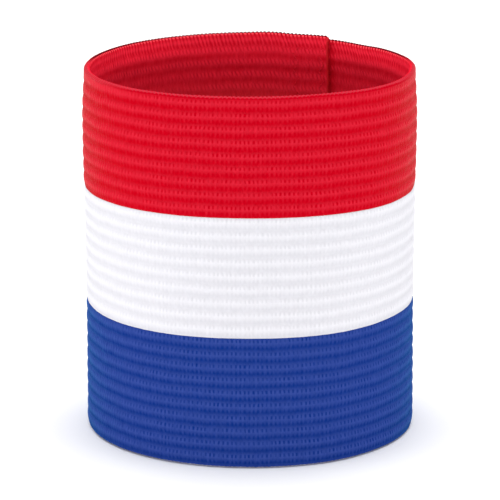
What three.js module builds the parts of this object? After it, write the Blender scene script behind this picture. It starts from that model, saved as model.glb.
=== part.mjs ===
// A captain's armband: one wide, ribbed elastic strip woven in three colours, bent into a tube
// with its two ends lapped at the back. Millimetres, +Z up. It stands on its lower edge, with its
// axis along Z and its front towards -Y.
import * as THREE from "three";

// The strip, whose colours lie one above the other along the arm
const redHeight = 29.4;
const whiteHeight = 29;
const blueHeight = 31.6;
const crestRadius = 40.25; // from the axis to the rib crests outside
const wall = 1.6; // from the rib crests outside to those inside
const colourGap = 0.3; // between the solids of two colours

// The ribs, which run round the band
const redRibs = 9;
const whiteRibs = 9;
const blueRibs = 10;
const outerRibDepth = 0.45;
const innerRibDepth = 0.2;
const ribFlank = 0.28; // share of a rib's pitch between its groove and its crest

// The lap, where the strip's outer end covers its inner end
const lapLength = 10;
const lapBearing = 69; // degrees from +X towards +Y, at the middle of the lap
const lapClearance = 0.3; // between the two layers
const lapEase = 14; // length over which an end swings off the common circle

// Facets along the strip
const lapSteps = 2; // in each layer of the lap
const easeSteps = 2; // in each swing
const plainSteps = 32; // in the rest

// How far the soft wall stands out, up the band: shares of the height and of the radius
const bulge = [
  { up: 0, out: 0.0025 },
  { up: 0.15, out: 0 },
  { up: 0.35, out: -0.0025 },
  { up: 0.66, out: 0.0025 },
  { up: 0.78, out: 0.0062 },
  { up: 0.86, out: 0.0088 },
  { up: 1, out: -0.0075 },
];

// Where the upper edge runs, from the outer end round by the front: shares of the length and height
const upperEdge = [
  { along: 0, height: 0.991 },
  { along: 0.2, height: 0.993 },
  { along: 0.44, height: 0.9945 },
  { along: 0.7, height: 0.998 },
  { along: 1, height: 1 },
];

// Sizes that follow from those above
const bandHeight = blueHeight + whiteHeight + redHeight;
const middleRadius = crestRadius - wall / 2;
const stripLength = 2 * Math.PI * middleRadius + lapLength;
const layerShift = (wall + lapClearance) / 2; // of each layer in the lap, from the common circle
const outerEndAngle = THREE.MathUtils.degToRad(lapBearing) + lapLength / 2 / middleRadius;
const swingSteps = lapSteps + easeSteps;
const stepsRound = 2 * swingSteps + plainSteps;

// Where the facets meet, as lengths from the outer end
const stations = [
  { step: 0, length: 0 },
  { step: lapSteps, length: lapLength },
  { step: swingSteps, length: lapLength + lapEase },
  { step: stepsRound - swingSteps, length: stripLength - lapLength - lapEase },
  { step: stepsRound - lapSteps, length: stripLength - lapLength },
  { step: stepsRound, length: stripLength },
];

// Woven elastic in one colour
function elastic(color) {
  return new THREE.MeshStandardMaterial({ color, roughness: 0.9, metalness: 0 });
}

// Value of a table's column between its rows
function readTable(rows, place, placeColumn, valueColumn) {
  const upper = rows.find((row, index) => index > 0 && row[placeColumn] >= place) ?? rows.at(-1);
  const lower = rows[rows.indexOf(upper) - 1];
  return THREE.MathUtils.mapLinear(
    place,
    lower[placeColumn],
    upper[placeColumn],
    lower[valueColumn],
    upper[valueColumn],
  );
}

// Section through one colour's wall: x is outwards from the rib crests, y is height
function wallSection(bottom, top, ribs) {
  const pitch = (top - bottom) / ribs;
  const outside = [];
  const inside = [];
  for (let rib = 0; rib < ribs; rib += 1) {
    const groove = bottom + rib * pitch;
    outside.push(new THREE.Vector2(-outerRibDepth, groove));
    outside.push(new THREE.Vector2(0, groove + ribFlank * pitch));
    outside.push(new THREE.Vector2(0, groove + (1 - ribFlank) * pitch));
    inside.push(new THREE.Vector2(innerRibDepth - wall, groove));
    inside.push(new THREE.Vector2(-wall, groove + pitch / 2));
  }
  outside.push(new THREE.Vector2(-outerRibDepth, top));
  inside.push(new THREE.Vector2(innerRibDepth - wall, top));
  return new THREE.Shape([...outside, ...inside.reverse()]);
}

// How far the strip lies off the common circle, at a length from its outer end
function lapOffset(length) {
  const outerEnd = 1 - THREE.MathUtils.smoothstep(length, lapLength, lapLength + lapEase);
  const innerStart = stripLength - lapLength;
  const innerEnd = THREE.MathUtils.smoothstep(length, innerStart - lapEase, innerStart);
  return layerShift * (outerEnd - innerEnd);
}

// Bends a straight strip, drawn along Z with one unit to a facet, round the band's axis
function wrapRound(geometry) {
  const points = geometry.attributes.position;
  for (let i = 0; i < points.count; i += 1) {
    const length = readTable(stations, points.getZ(i), "step", "length");
    const height = points.getY(i);
    const angle = outerEndAngle - length / middleRadius;
    const stand = crestRadius * readTable(bulge, height / bandHeight, "up", "out");
    const radius = crestRadius + points.getX(i) + stand + lapOffset(length);
    const edge = readTable(upperEdge, length / stripLength, "along", "height");
    points.setXYZ(i, radius * Math.cos(angle), radius * Math.sin(angle), height * edge);
  }
  geometry.computeVertexNormals();
  return geometry;
}

// One colour of the strip, between two heights
function colourBand(name, bottom, top, ribs, color) {
  const straight = new THREE.ExtrudeGeometry(wallSection(bottom, top, ribs), {
    depth: stepsRound,
    steps: stepsRound,
    bevelEnabled: false,
  });
  const mesh = new THREE.Mesh(wrapRound(straight), elastic(color));
  mesh.name = name;
  return mesh;
}

function blueBand() {
  return colourBand("blue_band", 0, blueHeight - colourGap / 2, blueRibs, 0x21419a);
}

function whiteBand() {
  const bottom = blueHeight + colourGap / 2;
  const top = blueHeight + whiteHeight - colourGap / 2;
  return colourBand("white_band", bottom, top, whiteRibs, 0xf2f2f6);
}

function redBand() {
  const bottom = blueHeight + whiteHeight + colourGap / 2;
  return colourBand("red_band", bottom, bandHeight, redRibs, 0xdb1226);
}

const armband = new THREE.Group();
armband.name = "captain_armband";
armband.add(redBand(), whiteBand(), blueBand());

export default armband;
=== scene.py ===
import math
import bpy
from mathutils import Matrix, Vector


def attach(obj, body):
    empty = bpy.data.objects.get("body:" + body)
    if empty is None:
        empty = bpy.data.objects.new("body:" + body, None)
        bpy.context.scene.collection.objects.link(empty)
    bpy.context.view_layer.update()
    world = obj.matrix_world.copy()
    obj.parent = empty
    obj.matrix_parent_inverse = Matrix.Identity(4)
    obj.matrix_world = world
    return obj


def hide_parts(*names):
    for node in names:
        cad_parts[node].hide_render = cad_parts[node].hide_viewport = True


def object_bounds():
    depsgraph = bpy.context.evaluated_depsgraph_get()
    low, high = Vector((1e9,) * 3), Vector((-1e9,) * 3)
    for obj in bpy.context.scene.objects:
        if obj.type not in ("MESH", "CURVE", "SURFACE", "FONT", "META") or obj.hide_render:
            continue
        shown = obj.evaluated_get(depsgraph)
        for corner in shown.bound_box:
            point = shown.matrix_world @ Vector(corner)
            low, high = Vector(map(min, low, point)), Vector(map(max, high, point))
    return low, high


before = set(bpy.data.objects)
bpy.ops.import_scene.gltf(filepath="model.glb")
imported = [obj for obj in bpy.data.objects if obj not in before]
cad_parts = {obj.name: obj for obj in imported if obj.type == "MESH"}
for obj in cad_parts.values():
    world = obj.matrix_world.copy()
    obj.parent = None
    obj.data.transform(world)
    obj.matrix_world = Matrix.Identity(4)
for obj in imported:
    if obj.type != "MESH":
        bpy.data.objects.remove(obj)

from types import SimpleNamespace

import bmesh
import bpy
import numpy as np
from mathutils import Vector

cadLow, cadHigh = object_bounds()
mm = 0.001

# The elastic laid flat: X runs along it from the outer end, Y points out of the tube, Z is its height
strip = {
    "height": cadHigh.z,
    "crestRadius": 40.25 * mm,   # to the rib crests outside
    "wall": 1.6 * mm,            # crest to crest
    "threads": 252,              # cross threads along the whole strip
    "outerRib": 0.30 * mm,       # depth of the grooves outside
    "innerRib": 0.15 * mm,
    "threadDepth": 0.10 * mm,    # how far the gaps between cross threads sink
    "lapLength": 10 * mm,
    "lapBearing": 66.7,          # degrees from +X to the middle of the lap
    "lapEase": 14 * mm,          # length over which an end swings off the circle
    "lapClearance": 0.12 * mm,
}
middleRadius = strip["crestRadius"] - strip["wall"] / 2
stripLength = 2 * math.pi * middleRadius + strip["lapLength"]
outerEndBearing = strip["lapBearing"] + math.degrees(strip["lapLength"] / 2 / middleRadius)
threadWidth = stripLength / strip["threads"]
lapThreads = strip["lapLength"] / threadWidth

blueTop = 31.8 * mm
redBottom = 60.95 * mm

# Each colour: the heights where it starts and ends, and the woven edge that it carries
zones = {
    "red": {"node": "red_band", "slot": "red_elastic", "ribs": 9, "edge": "upper",
            "start": redBottom, "end": strip["height"]},
    "white": {"node": "white_band", "slot": "white_elastic", "ribs": 9, "edge": None,
              "start": blueTop, "end": redBottom},
    "blue": {"node": "blue_band", "slot": "blue_elastic", "ribs": 10, "edge": "lower",
             "start": 0, "end": blueTop},
}
colourOverlap = 0.03 * mm  # the colours run into each other in the groove where they meet

# One rib from groove to groove: place up the rib, how far it stands out, depth of the thread gaps
outerRows = [
    {"up": 0.00, "out": 0.00, "gap": 0.35},
    {"up": 0.10, "out": 0.30, "gap": 0.35},
    {"up": 0.22, "out": 0.62, "gap": 0.35},
    {"up": 0.36, "out": 0.88, "gap": 0.50},
    {"up": 0.52, "out": 1.00, "gap": 0.40},
    {"up": 0.68, "out": 0.96, "gap": 0.80},
    {"up": 0.82, "out": 0.76, "gap": 1.00},
    {"up": 0.93, "out": 0.36, "gap": 0.70},
]
innerRows = [
    {"up": 0.00, "out": 0.85, "gap": 0.70},
    {"up": 0.18, "out": 0.45, "gap": 0.40},
    {"up": 0.38, "out": 0.00, "gap": 0.30},
    {"up": 0.70, "out": 1.00, "gap": 0.90},
]
threadFaces = 3                 # faces across one cross thread, which starts and ends in a gap
threadPoints = threadFaces + 1
gapReach = threadWidth * 0.1    # what lies this near to the edge of a thread is in its gap
weldDistance = 0.001 * mm
joinDistance = 0.002 * mm       # between one copy and the next
smoothAngle = math.radians(75)

# The woven edges, where each cross thread turns over in a small loop
selvage = {
    "upper": {"depth": 0.62 * mm, "dip": 0.50 * mm, "rib": 0.2},
    "lower": {"depth": 0.4 * mm, "dip": 0.28 * mm, "rib": 0.13},
}
selvageRows = [
    {"through": 0.04, "up": 0.50, "dip": 0.7},
    {"through": 0.24, "up": 0.88, "dip": 1.0},
    {"through": 0.50, "up": 1.00, "dip": 0.6},
    {"through": 0.76, "up": 0.80, "dip": 0.15},
    {"through": 0.96, "up": 0.45, "dip": 0.0},
]
# The top rib runs on over the lip with no groove: how many of its rows stay out, and how far out they
# and the last row are
topRib = {"rows": 4, "out": 0.9, "lastOut": 0.75}

# How the soft wall stands out up its height, all round: heights and millimetres
bulge = {"up": [0, 13, 31, 59, 70, 77, 90], "out": [0.1, 0, -0.1, 0.1, 0.25, 0.35, -0.3]}
# How the wall has settled: bearing, how far it stands out at each of four heights, and how far the upper
# edge runs above its even height, in millimetres
settledHeights = [0, blueTop, redBottom, strip["height"]]
settled = [
    {"bearing": 74, "out": (0.0, 0.0, 0.0, 0.0), "rise": -0.60},
    {"bearing": 60, "out": (0.0, 0.0, 0.0, 0.0), "rise": -0.60},
    {"bearing": 51, "out": (0.0, 0.0, 0.0, 0.0), "rise": -0.67},
    {"bearing": 43, "out": (0.0, 0.0, 0.0, 0.0), "rise": -0.70},
    {"bearing": 36, "out": (0.0, 0.0, 0.0, 0.0), "rise": -0.50},
    {"bearing": 26, "out": (0.0, 0.0, 0.0, 0.0), "rise": -0.46},
    {"bearing": 10, "out": (0.0, 0.0, 0.0, 0.2), "rise": -0.36},
    {"bearing": -8, "out": (0.0, 0.0, 0.0, 0.1), "rise": -0.24},
    {"bearing": -30, "out": (0.0, -0.2, 1.05, 0.9), "rise": -0.40},
    {"bearing": -45, "out": (0.0, 0.1, 1.7, 1.1), "rise": -0.38},
    {"bearing": -60, "out": (0.3, 0.6, 1.2, 0.4), "rise": -0.32},
    {"bearing": -75, "out": (0.1, 0.4, 0.5, 0.0), "rise": -0.32},
    {"bearing": -90, "out": (0.0, 0.0, 0.0, 0.0), "rise": -0.32},
    {"bearing": -105, "out": (0.0, 0.3, 0.3, 0.2), "rise": -0.30},
    {"bearing": -120, "out": (0.0, 0.8, 0.85, 1.2), "rise": -0.25},
    {"bearing": -135, "out": (0.1, 0.85, 1.1, 1.5), "rise": -0.20},
    {"bearing": -150, "out": (0.1, 0.6, 1.15, 1.4), "rise": -0.10},
    {"bearing": -165, "out": (0.15, 0.27, 0.8, 1.0), "rise": 0.02},
    {"bearing": -180, "out": (0.15, 0.30, 0.25, 0.22), "rise": 0.15},
    {"bearing": -200, "out": (0.1, 0.2, 0.1, 0.0), "rise": 0.00},
    {"bearing": -225, "out": (0.0, 0.0, 0.0, 0.0), "rise": 0.15},
    {"bearing": -254, "out": (0.0, 0.0, 0.0, 0.0), "rise": 0.36},
    {"bearing": -268, "out": (0.0, 0.0, 0.0, 0.0), "rise": 0.45},
    {"bearing": -279, "out": (0.0, 0.0, 0.0, 0.0), "rise": 0.70},
    {"bearing": -288, "out": (0.0, 0.0, 0.0, 0.0), "rise": 0.48},
    {"bearing": -301, "out": (0.0, 0.0, 0.0, 0.0), "rise": 0.55},
]
# The cage that moves the wall: its points each way, and its size against the strip's
cageShape = {"along": 46, "through": 2, "up": 16, "reach": 1.02, "thickness": 2}

# Small unevenness of the weave: direction, size of the lumps and how far they move the surface
unevenness = {
    "SoftWall": {"direction": "Y", "size": 7 * mm, "strength": 0.16 * mm},
    "LooseThreads": {"direction": "Y", "size": 1.1 * mm, "strength": 0.11 * mm},
    "SidewaysThreads": {"direction": "X", "size": 1.6 * mm, "strength": 0.24 * mm},
}


def deselectAll():
    if bpy.context.object and bpy.context.object.mode != "OBJECT":
        bpy.ops.object.mode_set(mode="OBJECT")
    bpy.ops.object.select_all(action="DESELECT")


def choose(piece):
    deselectAll()
    piece.select_set(True)
    bpy.context.view_layer.objects.active = piece


def applyAll(piece):
    choose(piece)
    for modifier in list(piece.modifiers):
        bpy.ops.object.modifier_apply(modifier=modifier.name)


def removeHelper(helper):
    choose(helper)
    bpy.ops.object.delete()


# Selects the vertices that a test picks, in edit mode
def selectWhere(piece, test):
    bpy.ops.mesh.select_all(action="DESELECT")
    shape = bmesh.from_edit_mesh(piece.data)
    shape.verts.ensure_lookup_table()
    for vertex in shape.verts:
        if test(vertex):
            vertex.select = True
    shape.select_flush_mode()
    bmesh.update_edit_mesh(piece.data)


# Turns every face outwards, in edit mode, and leaves it
def finishFaces():
    bpy.ops.mesh.select_all(action="SELECT")
    bpy.ops.mesh.normals_make_consistent(inside=False)
    bpy.ops.object.mode_set(mode="OBJECT")


# Copies of a piece, each joined to the last
def repeatPiece(piece, name, count, step, stepU=0):
    repeat = piece.modifiers.new(name, "ARRAY")
    repeat.count = count
    repeat.use_relative_offset = False
    repeat.use_constant_offset = True
    repeat.constant_offset_displace = step
    repeat.use_merge_vertices = True
    repeat.merge_threshold = joinDistance
    repeat.offset_u = stepU
    applyAll(piece)


# The rows round one colour's wall: up the outside, over the edge, down the inside and back
def wallRows(zone):
    bottom = zone["start"] - (0 if zone["edge"] == "lower" else colourOverlap / 2)
    top = zone["end"] + (0 if zone["edge"] == "upper" else colourOverlap / 2)
    firstGroove = bottom + (selvage["lower"]["depth"] if zone["edge"] == "lower" else 0)
    lastGroove = top - (selvage["upper"]["depth"] if zone["edge"] == "upper" else 0)
    pitch = (lastGroove - firstGroove) / zone["ribs"]
    outside = strip["wall"] / 2 - strip["outerRib"]
    inside = strip["innerRib"] - strip["wall"] / 2

    def ribRow(row, rib, base, depth, side):
        return {
            "y": base + side * depth * row["out"],
            "z": firstGroove + (rib + row["up"]) * pitch,
            "gap": (-side * strip["threadDepth"] * row["gap"], 0),
            "rib": rib + row["up"],
            "side": (side + 1) / 2,
        }

    def edgeRow(row, edge, groove, upwards, through, rib):
        return {
            "y": outside + (inside - outside) * through,
            "z": groove + upwards * edge["depth"] * row["up"],
            "gap": (0, -upwards * edge["dip"] * row["dip"]),
            "rib": rib + upwards * edge["rib"] * row["up"],
            "side": 1 - through,
        }

    rows = []
    for rib in range(zone["ribs"]):
        rows += [ribRow(row, rib, outside, strip["outerRib"], 1) for row in outerRows]
    rows.append(ribRow(outerRows[0], zone["ribs"], outside, 0, 1))
    if zone["edge"] == "upper":
        for row in rows[-1 - topRib["rows"]:-1]:
            row["y"] = outside + strip["outerRib"] * topRib["out"]
        rows[-1]["y"] = outside + strip["outerRib"] * topRib["lastOut"]
        rows += [edgeRow(row, selvage["upper"], lastGroove, 1, row["through"], zone["ribs"])
                 for row in selvageRows]
    rows.append(ribRow(innerRows[0], zone["ribs"], inside, strip["innerRib"], -1))
    for rib in reversed(range(zone["ribs"])):
        rows += [ribRow(row, rib, inside, strip["innerRib"], -1) for row in reversed(innerRows)]
    if zone["edge"] == "lower":
        rows += [edgeRow(row, selvage["lower"], firstGroove, -1, 1 - row["through"], 0)
                 for row in selvageRows]
    return rows + rows[:1]


# One cross thread's width of the wall, drawn by extruding its first edge from row to row
def makeThread(name, rows):
    deselectAll()
    bpy.ops.mesh.primitive_grid_add(
        x_subdivisions=threadFaces, y_subdivisions=1, size=threadWidth, location=(threadWidth / 2, 0, 0))
    thread = bpy.context.object
    thread.name = name
    bpy.ops.object.transform_apply(location=True, rotation=False, scale=False)
    bpy.ops.object.mode_set(mode="EDIT")
    bpy.ops.mesh.select_mode(type="VERT")
    selectWhere(thread, lambda vertex: vertex.co.y > 0)
    bpy.ops.mesh.delete(type="VERT")
    bpy.ops.mesh.select_all(action="SELECT")
    bpy.ops.transform.translate(value=(0, rows[0]["y"] + threadWidth / 2, rows[0]["z"]))
    for row, nextRow in zip(rows, rows[1:]):
        bpy.ops.mesh.extrude_edges_move(
            TRANSFORM_OT_translate={"value": (0, nextRow["y"] - row["y"], nextRow["z"] - row["z"])})
    for gap in sorted({row["gap"] for row in rows}):
        selectWhere(thread, lambda vertex: rows[vertex.index // threadPoints]["gap"] == gap
                    and min(vertex.co.x, threadWidth - vertex.co.x) < gapReach)
        bpy.ops.transform.translate(value=(0,) + gap)
    bpy.ops.object.mode_set(mode="OBJECT")
    unwrapThread(thread, rows)
    bpy.ops.object.mode_set(mode="EDIT")
    bpy.ops.mesh.select_all(action="SELECT")
    bpy.ops.mesh.remove_doubles(threshold=weldDistance)
    finishFaces()
    return thread


# U counts the threads along the strip, V counts the ribs up the colour, and "side" is 1 outside, 0 inside
def unwrapThread(thread, rows):
    mesh = thread.data
    places = np.zeros(len(mesh.vertices) * 3)
    mesh.vertices.foreach_get("co", places)
    rowOf = [rows[index // threadPoints] for index in range(len(mesh.vertices))]
    ribPlace = np.array([row["rib"] for row in rowOf])
    side = np.array([row["side"] for row in rowOf])
    corners = np.zeros(len(mesh.loops), dtype=int)
    mesh.loops.foreach_get("vertex_index", corners)
    while mesh.uv_layers:
        mesh.uv_layers.remove(mesh.uv_layers[0])
    weave = mesh.uv_layers.new(name="weave")
    weave.data.foreach_set("uv", np.column_stack((places[0::3] / threadWidth, ribPlace))[corners].ravel())
    mesh.attributes.new("side", "FLOAT", "POINT").data.foreach_set("value", side)


def addUnevenness(piece):
    for name, value in unevenness.items():
        texture = bpy.data.textures.get(name) or bpy.data.textures.new(name, "CLOUDS")
        texture.noise_scale = value["size"]
        texture.noise_depth = 1
        displace = piece.modifiers.new(name, "DISPLACE")
        displace.texture = texture
        displace.texture_coords = "LOCAL"
        displace.direction = value["direction"]
        displace.mid_level = 0.5
        displace.strength = value["strength"]


# A cage round the straight strip, which lets the wall stand out and the upper edge run up and down
def makeSoftCage():
    deselectAll()
    bpy.ops.object.add(type="LATTICE", location=(stripLength / 2, 0, strip["height"] / 2))
    cage = bpy.context.object
    cage.name = "softCage"
    cage.scale = (stripLength * cageShape["reach"], strip["wall"] * cageShape["thickness"],
                  strip["height"] * cageShape["reach"])
    cage.data.points_u = cageShape["along"]
    cage.data.points_v = cageShape["through"]
    cage.data.points_w = cageShape["up"]
    cage.data.interpolation_type_u = "KEY_CARDINAL"
    cage.data.interpolation_type_v = "KEY_LINEAR"
    cage.data.interpolation_type_w = "KEY_CARDINAL"
    bpy.context.view_layer.update()
    bearings = [row["bearing"] for row in reversed(settled)]
    rises = [row["rise"] for row in reversed(settled)]
    outs = [[row["out"][level] for row in reversed(settled)] for level in range(len(settledHeights))]
    for point in cage.data.points:
        place = cage.matrix_world @ point.co
        bearing = outerEndBearing - math.degrees(place.x / middleRadius)
        settledOut = np.interp(place.z, settledHeights, [np.interp(bearing, bearings, out) for out in outs])
        rise = np.interp(bearing, bearings, rises)
        place.y += (np.interp(place.z / mm, bulge["up"], bulge["out"]) + settledOut) * mm
        place.z += rise * max(place.z - redBottom, 0) / (strip["height"] - redBottom) * mm
        point.co_deform = cage.matrix_world.inverted() @ place
    return cage


# How far a place is past the lap, from 0 within it to 1, by its distance from an end of the strip
def clearOfLap(fromEnd):
    share = min(max((fromEnd - strip["lapLength"]) / strip["lapEase"], 0), 1)
    return share * share * (3 - 2 * share)


# The line that the strip is bent along, clockwise from the outer end, whose two ends lap at the back
def makeBendLine():
    deselectAll()
    layerShift = (strip["wall"] + strip["lapClearance"]) / 2
    steps = strip["threads"] * 2
    curve = bpy.data.curves.new("bendLine", "CURVE")
    curve.dimensions = "2D"
    spline = curve.splines.new("POLY")
    spline.points.add(steps)
    for index, point in enumerate(spline.points):
        length = stripLength * index / steps
        angle = math.radians(outerEndBearing) - length / middleRadius
        radius = middleRadius + (clearOfLap(stripLength - length) - clearOfLap(length)) * layerShift
        point.co = (radius * math.cos(angle), radius * math.sin(angle), 0, 1)
    line = bpy.data.objects.new("bendLine", curve)
    bpy.context.collection.objects.link(line)
    return line


def bendRound(piece):
    lattice = piece.modifiers.new("SoftCage", "LATTICE")
    lattice.object = softCage
    bend = piece.modifiers.new("BendLine", "CURVE")
    bend.object = bendLine
    bend.deform_axis = "POS_X"
    applyAll(piece)
    bpy.ops.object.shade_smooth_by_angle(angle=smoothAngle)


# One colour's elastic: a single thread repeated along the strip, closed at its ends and bent round
def makeElastic(colour):
    elastic = makeThread(colour + "_weave", wallRows(zones[colour]))
    repeatPiece(elastic, "Threads", strip["threads"], (threadWidth, 0, 0), stepU=1)
    bpy.ops.object.mode_set(mode="EDIT")
    for end in (0, stripLength):
        selectWhere(elastic, lambda vertex: abs(vertex.co.x - end) < gapReach)
        bpy.ops.mesh.fill()
    finishFaces()
    addUnevenness(elastic)
    bendRound(elastic)
    print(colour, "elastic:", len(elastic.data.polygons), "faces")
    return elastic


# A shader socket that takes part in ordinary sums
class Value:
    def __init__(self, tree, socket=None):
        self.tree = tree
        self.socket = socket

    def add(self, kind, settings, sockets, output=0):
        node = self.tree.nodes.new(kind)
        for name, setting in settings.items():
            setattr(node, name, setting)
        for name, value in sockets.items():
            if isinstance(value, Value):
                self.tree.links.new(value.socket, node.inputs[name])
            else:
                node.inputs[name].default_value = value
        return Value(self.tree, node.outputs[output])

    def math(self, operation, *values):
        return self.add("ShaderNodeMath", {"operation": operation}, dict(enumerate(values)))

    def __add__(self, other):
        return self.math("ADD", self, other)

    def __radd__(self, other):
        return self.math("ADD", other, self)

    def __sub__(self, other):
        return self.math("SUBTRACT", self, other)

    def __rsub__(self, other):
        return self.math("SUBTRACT", other, self)

    def __mul__(self, other):
        return self.math("MULTIPLY", self, other)

    def __rmul__(self, other):
        return self.math("MULTIPLY", other, self)

    def __abs__(self):
        return self.math("ABSOLUTE", self)

    def fract(self):
        return self.math("FRACT", self)

    def floor(self):
        return self.math("FLOOR", self)

    def larger(self, other):
        return self.math("MAXIMUM", self, other)

    def near(self, place):  # 1 at this place in each turn, 0 half a turn away
        return 1 - abs((self - place + 0.5).fract() * 2 - 1)

    def rise(self, low, high):  # 0 below low, 1 above high, smooth between
        settings = {"interpolation_type": "SMOOTHSTEP"}
        return self.add("ShaderNodeMapRange", settings, {"Value": self, "From Min": low, "From Max": high})

    def blend(self, first, second):  # colours, by this value
        first, second = [shade if isinstance(shade, Value) else shade + (1,) for shade in (first, second)]
        return self.add("ShaderNodeMix", {"data_type": "RGBA"}, {0: self, 6: first, 7: second}, 2)

    def scaled(self, scale):  # a place, scaled each way
        return self.add("ShaderNodeVectorMath", {"operation": "MULTIPLY"}, {0: self, 1: scale})

    def noise(self, detail, dimensions="2D"):
        sockets = {"Vector": self, "Scale": 1.0, "Detail": detail, "Roughness": 0.5}
        return self.add("ShaderNodeTexNoise", {"noise_dimensions": dimensions}, sockets, "Fac")


# What a user would change of each colour: its yarn in painted shade and in painted light, which its grain
# also moves between, outside and inside (the inside pair painted lighter than the outside's, as painted
# light), where on a rib the painted light is brightest and how far the painted shade reaches, and how
# clearly its cross threads and its grain show
yarns = {
    "red": {"dark": (0.495, 0.0000, 0.008), "light": (0.64, 0.0145, 0.034),
            "insideDark": (0.66, 0.004, 0.018), "insideLight": (0.96, 0.026, 0.058),
            "paintedInsideShade": (0.70, 0.028, 0.038), "sheenTint": (0.3, 0.9, 0.75),
            "paintedLightPlace": 0.73, "paintedShadeTo": 0.04, "threads": 1.0, "grain": 0.45},
    "white": {"dark": (0.64, 0.635, 0.675), "light": (0.765, 0.758, 0.80),
              "insideDark": (0.68, 0.675, 0.72), "insideLight": (0.86, 0.855, 0.90),
              "sheenTint": (1.0, 1.0, 1.0),
              "paintedLightPlace": 0.69, "paintedShadeTo": -0.1, "threads": 0.65, "grain": 0.28},
    "blue": {"dark": (0.0037, 0.0265, 0.199), "light": (0.033, 0.063, 0.287),
             "insideDark": (0.006, 0.032, 0.225), "insideLight": (0.038, 0.070, 0.32),
             "sheenTint": (0.1, 0.75, 1.0),
             "paintedLightPlace": 0.73, "paintedShadeTo": -0.2, "threads": 0.85, "grain": 0.38},
}
# The loops of the red upper edge, in painted light and shade: a highlight line, highlight dots, shade in
# the gaps between the loops and a shaded outline behind, and a plain colour at the sides
lipLightAndShade = {
    "line": (0.53, 0.028, 0.047),
    "light": (0.90, 0.060, 0.085),
    "gap": (0.48, 0.0005, 0.010),
    "sides": (0.52, 0.016, 0.032),
    "outlineShade": (0.10, 0.002, 0.004),
}
finish = {
    "roughness": 0.85,
    "specular": 0.005,
    "sheen": 0.22,           # outside only
    "sheenRoughness": 0.3,
    "fuzzDepth": 0.06 * mm,
}
# Patterns on the weave: their scale across the threads and up the ribs, their detail and their strength
patterns = {
    "rowWander": {"scale": (0.11, 0.35, 1), "detail": 1.0, "strength": 0.12},
    "threadWander": {"scale": (0.5, 0.9, 1), "detail": 1.0, "strength": 0.5},
    "mottle": {"scale": (0.9, 1.7, 1), "detail": 2.0, "strength": 0.4},
    "fibre": {"scale": (7.0, 2.6, 1), "detail": 3.0, "strength": 0.2},
    "strands": {"scale": (2.4, 1.3, 1), "detail": 2.0, "strength": 1.0},   # times the yarn's grain
}
# Where things lie on a rib, from 0 in the groove below it to 1 in the groove above
ribPlaces = {
    "gapShade": 0.80,          # the painted shade in the gaps between cross threads
    "teeth": 0.32,         # the fainter painted shade in the gaps low on the rib, painted light on the threads between
    # painted highlight on some threads
    "threadHighlight": 0.70,
    "floats": 0.84,        # the long threads inside, where the groove is outside
    # the rows of painted light inside
    "insideLight": 0.79,
}
# Where the painted marks change along the strip, from 0 at the outer end to 1 at the inner end
changes = {
    "smoothStart": (0.48, 0.60),   # the side where the painted shade of the cross threads is fainter
    "smoothEnd": (0.75, 0.85),
    "calmRowsEnd": (0.84, 0.90),       # up to here, below its top ribs, the inner wall's painted light rows and its threads show less
}
# Parts of the rim: their middle along the strip, and where they fade out to each side of it
rimParts = {
    "front": {"middle": 0.42, "half": (0.12, 0.20)},
    "frontAndSides": {"middle": 0.43, "half": (0.22, 0.29)},
}


# What the looks read of the weave. Cross threads and rows wander a little, and inside, the threads slant
# over each rib
def readWeave(start, zone, yarn):
    uv = start.add("ShaderNodeUVMap", {"uv_map": "weave"}, {})
    side = start.add("ShaderNodeAttribute", {"attribute_name": "side"}, {}, "Fac")
    along = start.add("ShaderNodeSeparateXYZ", {}, {0: uv}, "X")
    up = Value(start.tree, along.socket.node.outputs["Y"])
    noises = {}
    uneven = {}
    for name, pattern in patterns.items():
        noises[name] = uv.scaled(pattern["scale"]).noise(pattern["detail"])
        uneven[name] = (noises[name] - 0.5) * pattern["strength"]

    row = up + uneven["rowWander"]
    thread = along + uneven["threadWander"] + (1 - side) * row.fract()
    number = start.add("ShaderNodeCombineXYZ", {}, {0: thread.floor(), 1: row.floor()})
    chance = start.add("ShaderNodeTexWhiteNoise", {"noise_dimensions": "2D"}, {"Vector": number}, "Value")
    return SimpleNamespace(
        side=side,                             # 1 outside, 0 inside
        along=along,                           # in cross threads
        turn=along * (1 / strip["threads"]),   # from 0 to 1 along the strip
        row=row,                               # in ribs
        rib=row.fract(),                       # from groove to groove
        top=row - zone["ribs"],                # in ribs from the top of the colour, below 0 on the wall
        roundness=thread.near(0.5),            # 0 in the gaps, 1 on the middle of a thread
        chance=chance,                         # another number for each thread of each rib
        fibre=noises["fibre"],
        speckle=uneven["mottle"] + uneven["fibre"] + uneven["strands"] * yarn["grain"],
    )


# 0 on a part of the rim, 1 beyond it
def beyond(weave, part):
    return abs(weave.turn - rimParts[part]["middle"]).rise(*rimParts[part]["half"])


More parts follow.
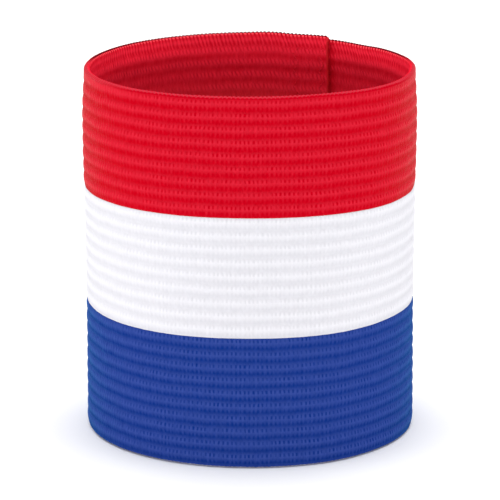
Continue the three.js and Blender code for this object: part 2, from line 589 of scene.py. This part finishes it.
# How light the outside is, in painted light and shade: each rib is painted lightest a little above its
# middle, where light from above falls on it, and painted darker on its lower flank. The cross threads show
# as two rows
# of painted shade in their gaps: one under the groove above, and fainter teeth low on the rib
def makeOutsideTone(weave, zone, yarn):
    ribRow = weave.row
    if zone["edge"] == "upper":   # the painted light on the top ribs falls lower
        ribRow = ribRow + weave.top.rise(-2.5, 0) * 0.05
    smooth = weave.turn.rise(*changes["smoothStart"]) * (1 - weave.turn.rise(*changes["smoothEnd"]))
    clear = (1 - smooth * 0.6) * yarn["threads"]
    gapShade = (1 - weave.roundness.rise(0.15, 0.7)) * weave.rib.near(ribPlaces["gapShade"]).rise(0.66, 0.86)
    gapShade = gapShade * (weave.chance * 0.8 + 0.45) * clear
    teeth = (weave.roundness.rise(0.1, 0.8) - 0.5) * weave.rib.near(ribPlaces["teeth"]).rise(0.6, 0.9)
    teeth = teeth * (weave.chance * 0.4 + 0.2) * clear
    threadHighlight = weave.roundness.rise(0.3, 0.95) * weave.rib.near(ribPlaces["threadHighlight"]).rise(0.55, 0.95)
    threadHighlight = threadHighlight * (weave.chance - 0.3) * 0.4
    tone = ribRow.fract().near(yarn["paintedLightPlace"]).rise(yarn["paintedShadeTo"], 1.0) * (1 - gapShade) * 0.85 + 0.05
    tone = tone + teeth + threadHighlight + weave.speckle
    if zone["edge"] == "upper":   # painted shade lies under the lip at the front only; at the sides it is lifted
        tone = tone + beyond(weave, "front") * weave.top.rise(-0.6, -0.1) * 0.5
    return tone


# How light the inside is: rows of painted light lie behind the grooves outside
def makeInsideTone(weave, zone):
    rib = weave.rib
    if zone["edge"] == "upper":
        rib = (weave.row + weave.top.rise(-0.8, 0) * 0.3).fract()
    floats = rib.near(ribPlaces["floats"]).rise(0.5, 0.85)
    if zone["edge"] == "upper":   # the top rib is all long threads
        floats = floats.larger(weave.top.rise(-0.95, -0.75))
    calmRows = (1 - weave.top.rise(-3.5, -2)) * (1 - weave.turn.rise(*changes["calmRowsEnd"]))
    overlay = (weave.roundness.rise(0.1, 0.8) - 0.5) * floats * (weave.chance * 0.9 + 0.6)
    overlay = overlay * (1 - calmRows * 0.75)
    cornerShade = 1 - weave.along.rise(lapThreads, lapThreads + 2.6)   # painted shade in the corner beside the covered end
    tone = rib.near(ribPlaces["insideLight"]).rise(0, 1) * (1 - calmRows * 0.55) * 0.62 + calmRows * 0.15 + 0.19
    return tone + overlay * 0.7 + weave.speckle * 1.3 - cornerShade * 0.5


# Loops make the lip, in painted light and shade: a painted highlight line in front, painted highlight dots
# with painted shade between them under a painted shaded outline behind, and plain at the sides
def makeLipShade(weave, inside):
    behind = beyond(weave, "frontAndSides")
    dots = weave.roundness.rise(0.2, 0.6).blend(lipLightAndShade["gap"], lipLightAndShade["light"])
    lineTop = (weave.top + weave.roundness.rise(0, 0.7) * 0.05).rise(0.15, 0.18)
    line = lineTop.blend(lipLightAndShade["gap"], lipLightAndShade["line"])
    innerHalf = behind.blend(inside, dots)
    outerHalf = beyond(weave, "front").blend(line, lipLightAndShade["sides"])
    outlineShade = behind * weave.side.rise(0.08, 0.16) * (1 - weave.side.rise(0.52, 0.64))
    return outlineShade.blend(weave.side.rise(0.4, 0.5).blend(innerHalf, outerHalf), lipLightAndShade["outlineShade"])


def startMaterial(name):
    material = bpy.data.materials.new(name)
    material.use_nodes = True
    tree = material.node_tree
    tree.nodes.remove(tree.nodes["Principled BSDF"])
    return material, Value(tree)


def makeShader(tree, shade, bump):
    shader = tree.nodes.new("ShaderNodeBsdfPrincipled")
    tree.links.new(shade.socket, shader.inputs["Base Color"])
    tree.links.new(bump.socket, shader.inputs["Normal"])
    shader.inputs["Roughness"].default_value = finish["roughness"]
    shader.inputs["Specular IOR Level"].default_value = finish["specular"]
    return shader


def makeYarnMaterial(colour):
    zone = zones[colour]
    yarn = yarns[colour]
    material, start = startMaterial(colour + "_yarn")
    weave = readWeave(start, zone, yarn)
    outsideTone = makeOutsideTone(weave, zone, yarn)
    # blended between the yarn in painted shade and in painted light
    outside = outsideTone.blend(yarn["dark"], yarn["light"])
    inside = makeInsideTone(weave, zone).blend(yarn["insideDark"], yarn["insideLight"])
    if zone["edge"] == "upper":   # painted shade: deep inside, the red is painted darker and duller
        inside = weave.top.rise(-7, -3).blend(yarn["paintedInsideShade"], inside)
    isOutside = weave.side.rise(0.4, 0.6)
    shade = isOutside.blend(inside, outside)
    fuzzy = isOutside * (outsideTone.rise(0.05, 0.6) * 0.45 + 0.55)
    if zone["edge"] == "upper":
        lip = weave.top.rise(-0.05, 0.01)
        shade = lip.blend(shade, makeLipShade(weave, inside))
        fuzzy = fuzzy * (1 - lip * (1 - beyond(weave, "front")))
    height = weave.fibre + weave.roundness.rise(0, 0.6) * 0.4
    bump = start.add("ShaderNodeBump", {}, {
        "Strength": 1.0, "Distance": finish["fuzzDepth"], "Height": height})

    tree = material.node_tree
    plainShader = makeShader(tree, shade, bump)
    fuzzyShader = makeShader(tree, shade, bump)
    fuzzyShader.inputs["Sheen Weight"].default_value = finish["sheen"]
    fuzzyShader.inputs["Sheen Roughness"].default_value = finish["sheenRoughness"]
    fuzzyShader.inputs["Sheen Tint"].default_value = yarn["sheenTint"] + (1,)
    both = tree.nodes.new("ShaderNodeMixShader")
    tree.links.new(fuzzy.socket, both.inputs[0])
    tree.links.new(plainShader.outputs[0], both.inputs[1])
    tree.links.new(fuzzyShader.outputs[0], both.inputs[2])
    tree.links.new(both.outputs[0], tree.nodes["Material Output"].inputs["Surface"])
    return material


softCage = makeSoftCage()
bendLine = makeBendLine()
for colour, zone in zones.items():
    elastic = makeElastic(colour)
    elastic.data.materials.append(makeYarnMaterial(colour))
    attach(elastic, "root")
    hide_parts(zone["node"])
    zone["end"] - zone["start"]
print("elastics done")

# Zigzag stitching through both layers of the lap, a row near each cut end, which shows on both faces.
# The thread is clear nylon, so that it takes the shade of each colour
stitching = {
    "threadRadius": 0.13 * mm,
    "threadSides": 6,
    "zigzag": 3.8 * mm,       # height of two stitches to one side and two back
    "lean": 0.75 * mm,        # how far one stitch goes sideways
    "dip": 0.30 * mm,         # where it goes into the cloth
    "fromEnd": 1.45 * mm,     # from the cut end to the middle of the row
    "fromEdge": 1.3 * mm,     # from the woven edges to the ends of the row
    "twist": (4000, 4000, 9000),
    "twistStrength": 0.8,
}
# The parts of one stitch: share of its length, and -1 where it comes out of the cloth, 1 where it goes in
stitchParts = [(0.2, -1), (0.3, 0), (0.3, 0), (0.2, 1)]

# Where each row runs along the strip, and the face that it lies on: -1 inside, 1 outside
stitchRows = [
    {"along": stripLength - stitching["fromEnd"], "face": -1},
    {"along": stripLength - strip["lapLength"] + stitching["fromEnd"], "face": -1},
    {"along": stitching["fromEnd"], "face": 1},
    {"along": strip["lapLength"] - stitching["fromEnd"], "face": 1},
]


# One zigzag, each of its stitches with its ends sunk in the cloth
def makeZigzag(start, step):
    deselectAll()
    bpy.ops.mesh.primitive_circle_add(
        vertices=stitching["threadSides"], radius=stitching["threadRadius"],
        location=(-stitching["lean"], stitching["dip"] - strip["wall"] / 2, start))
    zigzag = bpy.context.object
    bpy.ops.object.transform_apply(location=True, rotation=False, scale=False)
    bpy.ops.object.mode_set(mode="EDIT")
    bpy.ops.mesh.select_all(action="SELECT")
    for lean in (1, 1, -1, -1):
        for share, rise in stitchParts:
            bpy.ops.mesh.extrude_edges_move(TRANSFORM_OT_translate={"value": (
                lean * share * stitching["lean"], rise * stitching["dip"], share * step)})
    bpy.ops.object.mode_set(mode="OBJECT")
    return zigzag


def makeStitchRow(zone):
    start = zone["start"] + (stitching["fromEdge"] if zone["edge"] == "lower" else 0)
    top = zone["end"] - (stitching["fromEdge"] if zone["edge"] == "upper" else 0)
    count = round((top - start) / stitching["zigzag"])
    row = makeZigzag(start, (top - start) / count / 4)
    repeatPiece(row, "Zigzags", count, (0, 0, (top - start) / count))
    bpy.ops.object.mode_set(mode="EDIT")
    for end in (start, top):
        selectWhere(row, lambda vertex: abs(vertex.co.z - end) < stitching["threadRadius"] / 10)
        bpy.ops.mesh.edge_face_add()
    finishFaces()
    return row


# A copy of a stitch row, on its face of the strip
def placeStitchRow(row, place):
    choose(row)
    bpy.ops.object.duplicate()
    bpy.ops.object.mode_set(mode="EDIT")
    bpy.ops.mesh.select_all(action="SELECT")
    if place["face"] == 1:
        bpy.ops.transform.mirror(
            orient_type="GLOBAL", constraint_axis=(False, True, False), center_override=(0, 0, 0))
        bpy.ops.mesh.normals_make_consistent(inside=False)
    bpy.ops.transform.translate(value=(place["along"], 0, 0))
    bpy.ops.object.mode_set(mode="OBJECT")
    return bpy.context.object


def makeThreadMaterial(colour):
    material, start = startMaterial(colour + "_thread")
    place = start.add("ShaderNodeTexCoord", {}, {}, "Object")
    twist = place.scaled(stitching["twist"]).noise(2.0, "3D")
    shade = twist.rise(0.3, 0.7).blend(yarns[colour]["light"], yarns[colour]["insideLight"])
    bump = start.add("ShaderNodeBump", {}, {
        "Strength": stitching["twistStrength"], "Distance": finish["fuzzDepth"], "Height": twist})
    shader = makeShader(material.node_tree, shade, bump)
    output = material.node_tree.nodes["Material Output"]
    material.node_tree.links.new(shader.outputs[0], output.inputs["Surface"])
    return material


for colour, zone in zones.items():
    row = makeStitchRow(zone)
    copies = [placeStitchRow(row, place) for place in stitchRows]
    removeHelper(row)
    choose(copies[0])
    for copy in copies:
        copy.select_set(True)
    bpy.ops.object.join()
    stitches = bpy.context.object
    stitches.name = colour + "_stitching"
    bendRound(stitches)
    stitches.data.materials.append(makeThreadMaterial(colour))
    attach(stitches, "root")
    print(colour, "stitching:", len(stitches.data.polygons), "faces")

removeHelper(softCage)
removeHelper(bendLine)

# Floor, camera and studio lights
studio = {
    "floorSize": 8.0,
    "floorDrop": 0.2 * mm,
    "floorShade": (0.96, 0.96, 0.96),
    "air": 0.48,             # light from all round
    "cameraPlace": (0, -0.7677, 0.23916),
    "cameraPitch": 0.25,
    "lens": 231.8,
    "sensor": 36,
    "shiftX": -0.001,
}
# Soft boxes: place, what they point at, width and height in metres, and watts
softBoxes = {
    "overhead": {"place": (0, 0.25, 1.6), "target": (0, 0.1, 0), "size": (1.8, 1.8), "power": 33},
    "front": {"place": (-0.15, -1.7, 0.23), "target": (0, 0, 0.07), "size": (1.2, 0.07), "power": 6.2},
    "left": {"place": (-1.6, -0.35, 0.2), "target": (0, 0, 0.07), "size": (1.2, 0.07), "power": 8.4},
    "right": {"place": (1.6, -0.35, 0.2), "target": (0, 0, 0.07), "size": (1.2, 0.07), "power": 7.0},
}

deselectAll()
bpy.ops.mesh.primitive_plane_add(size=studio["floorSize"], location=(0, 0, -studio["floorDrop"]))
floor = bpy.context.object
floor.name = "studioFloor"
paper = bpy.data.materials.new("floorPaper")
paper.use_nodes = True
paperShader = paper.node_tree.nodes["Principled BSDF"]
paperShader.inputs["Base Color"].default_value = studio["floorShade"] + (1,)
paperShader.inputs["Roughness"].default_value = 1
paperShader.inputs["Specular IOR Level"].default_value = 0
floor.data.materials.append(paper)

for name, box in softBoxes.items():
    deselectAll()
    bpy.ops.object.light_add(type="AREA", location=box["place"])
    light = bpy.context.object
    light.name = name
    light.data.shape = "RECTANGLE"
    light.data.size, light.data.size_y = box["size"]
    light.data.energy = box["power"]
    aim = light.location - Vector(box["target"])
    light.rotation_euler = aim.to_track_quat("Z", "Y").to_euler()

air = bpy.data.worlds.new("studioAir")
air.use_nodes = True
air.node_tree.nodes["Background"].inputs["Color"].default_value = (1, 1, 1, 1)
air.node_tree.nodes["Background"].inputs["Strength"].default_value = studio["air"]
bpy.context.scene.world = air

cameraTurn = (math.pi / 2 - studio["cameraPitch"], 0, 0)
bpy.ops.object.camera_add(location=studio["cameraPlace"], rotation=cameraTurn)
camera = bpy.context.object
camera.data.lens = studio["lens"]
camera.data.sensor_width = studio["sensor"]
camera.data.shift_x = studio["shiftX"]
bpy.context.scene.camera = camera
bpy.context.scene.view_settings.view_transform = "Standard"
print("studio done")
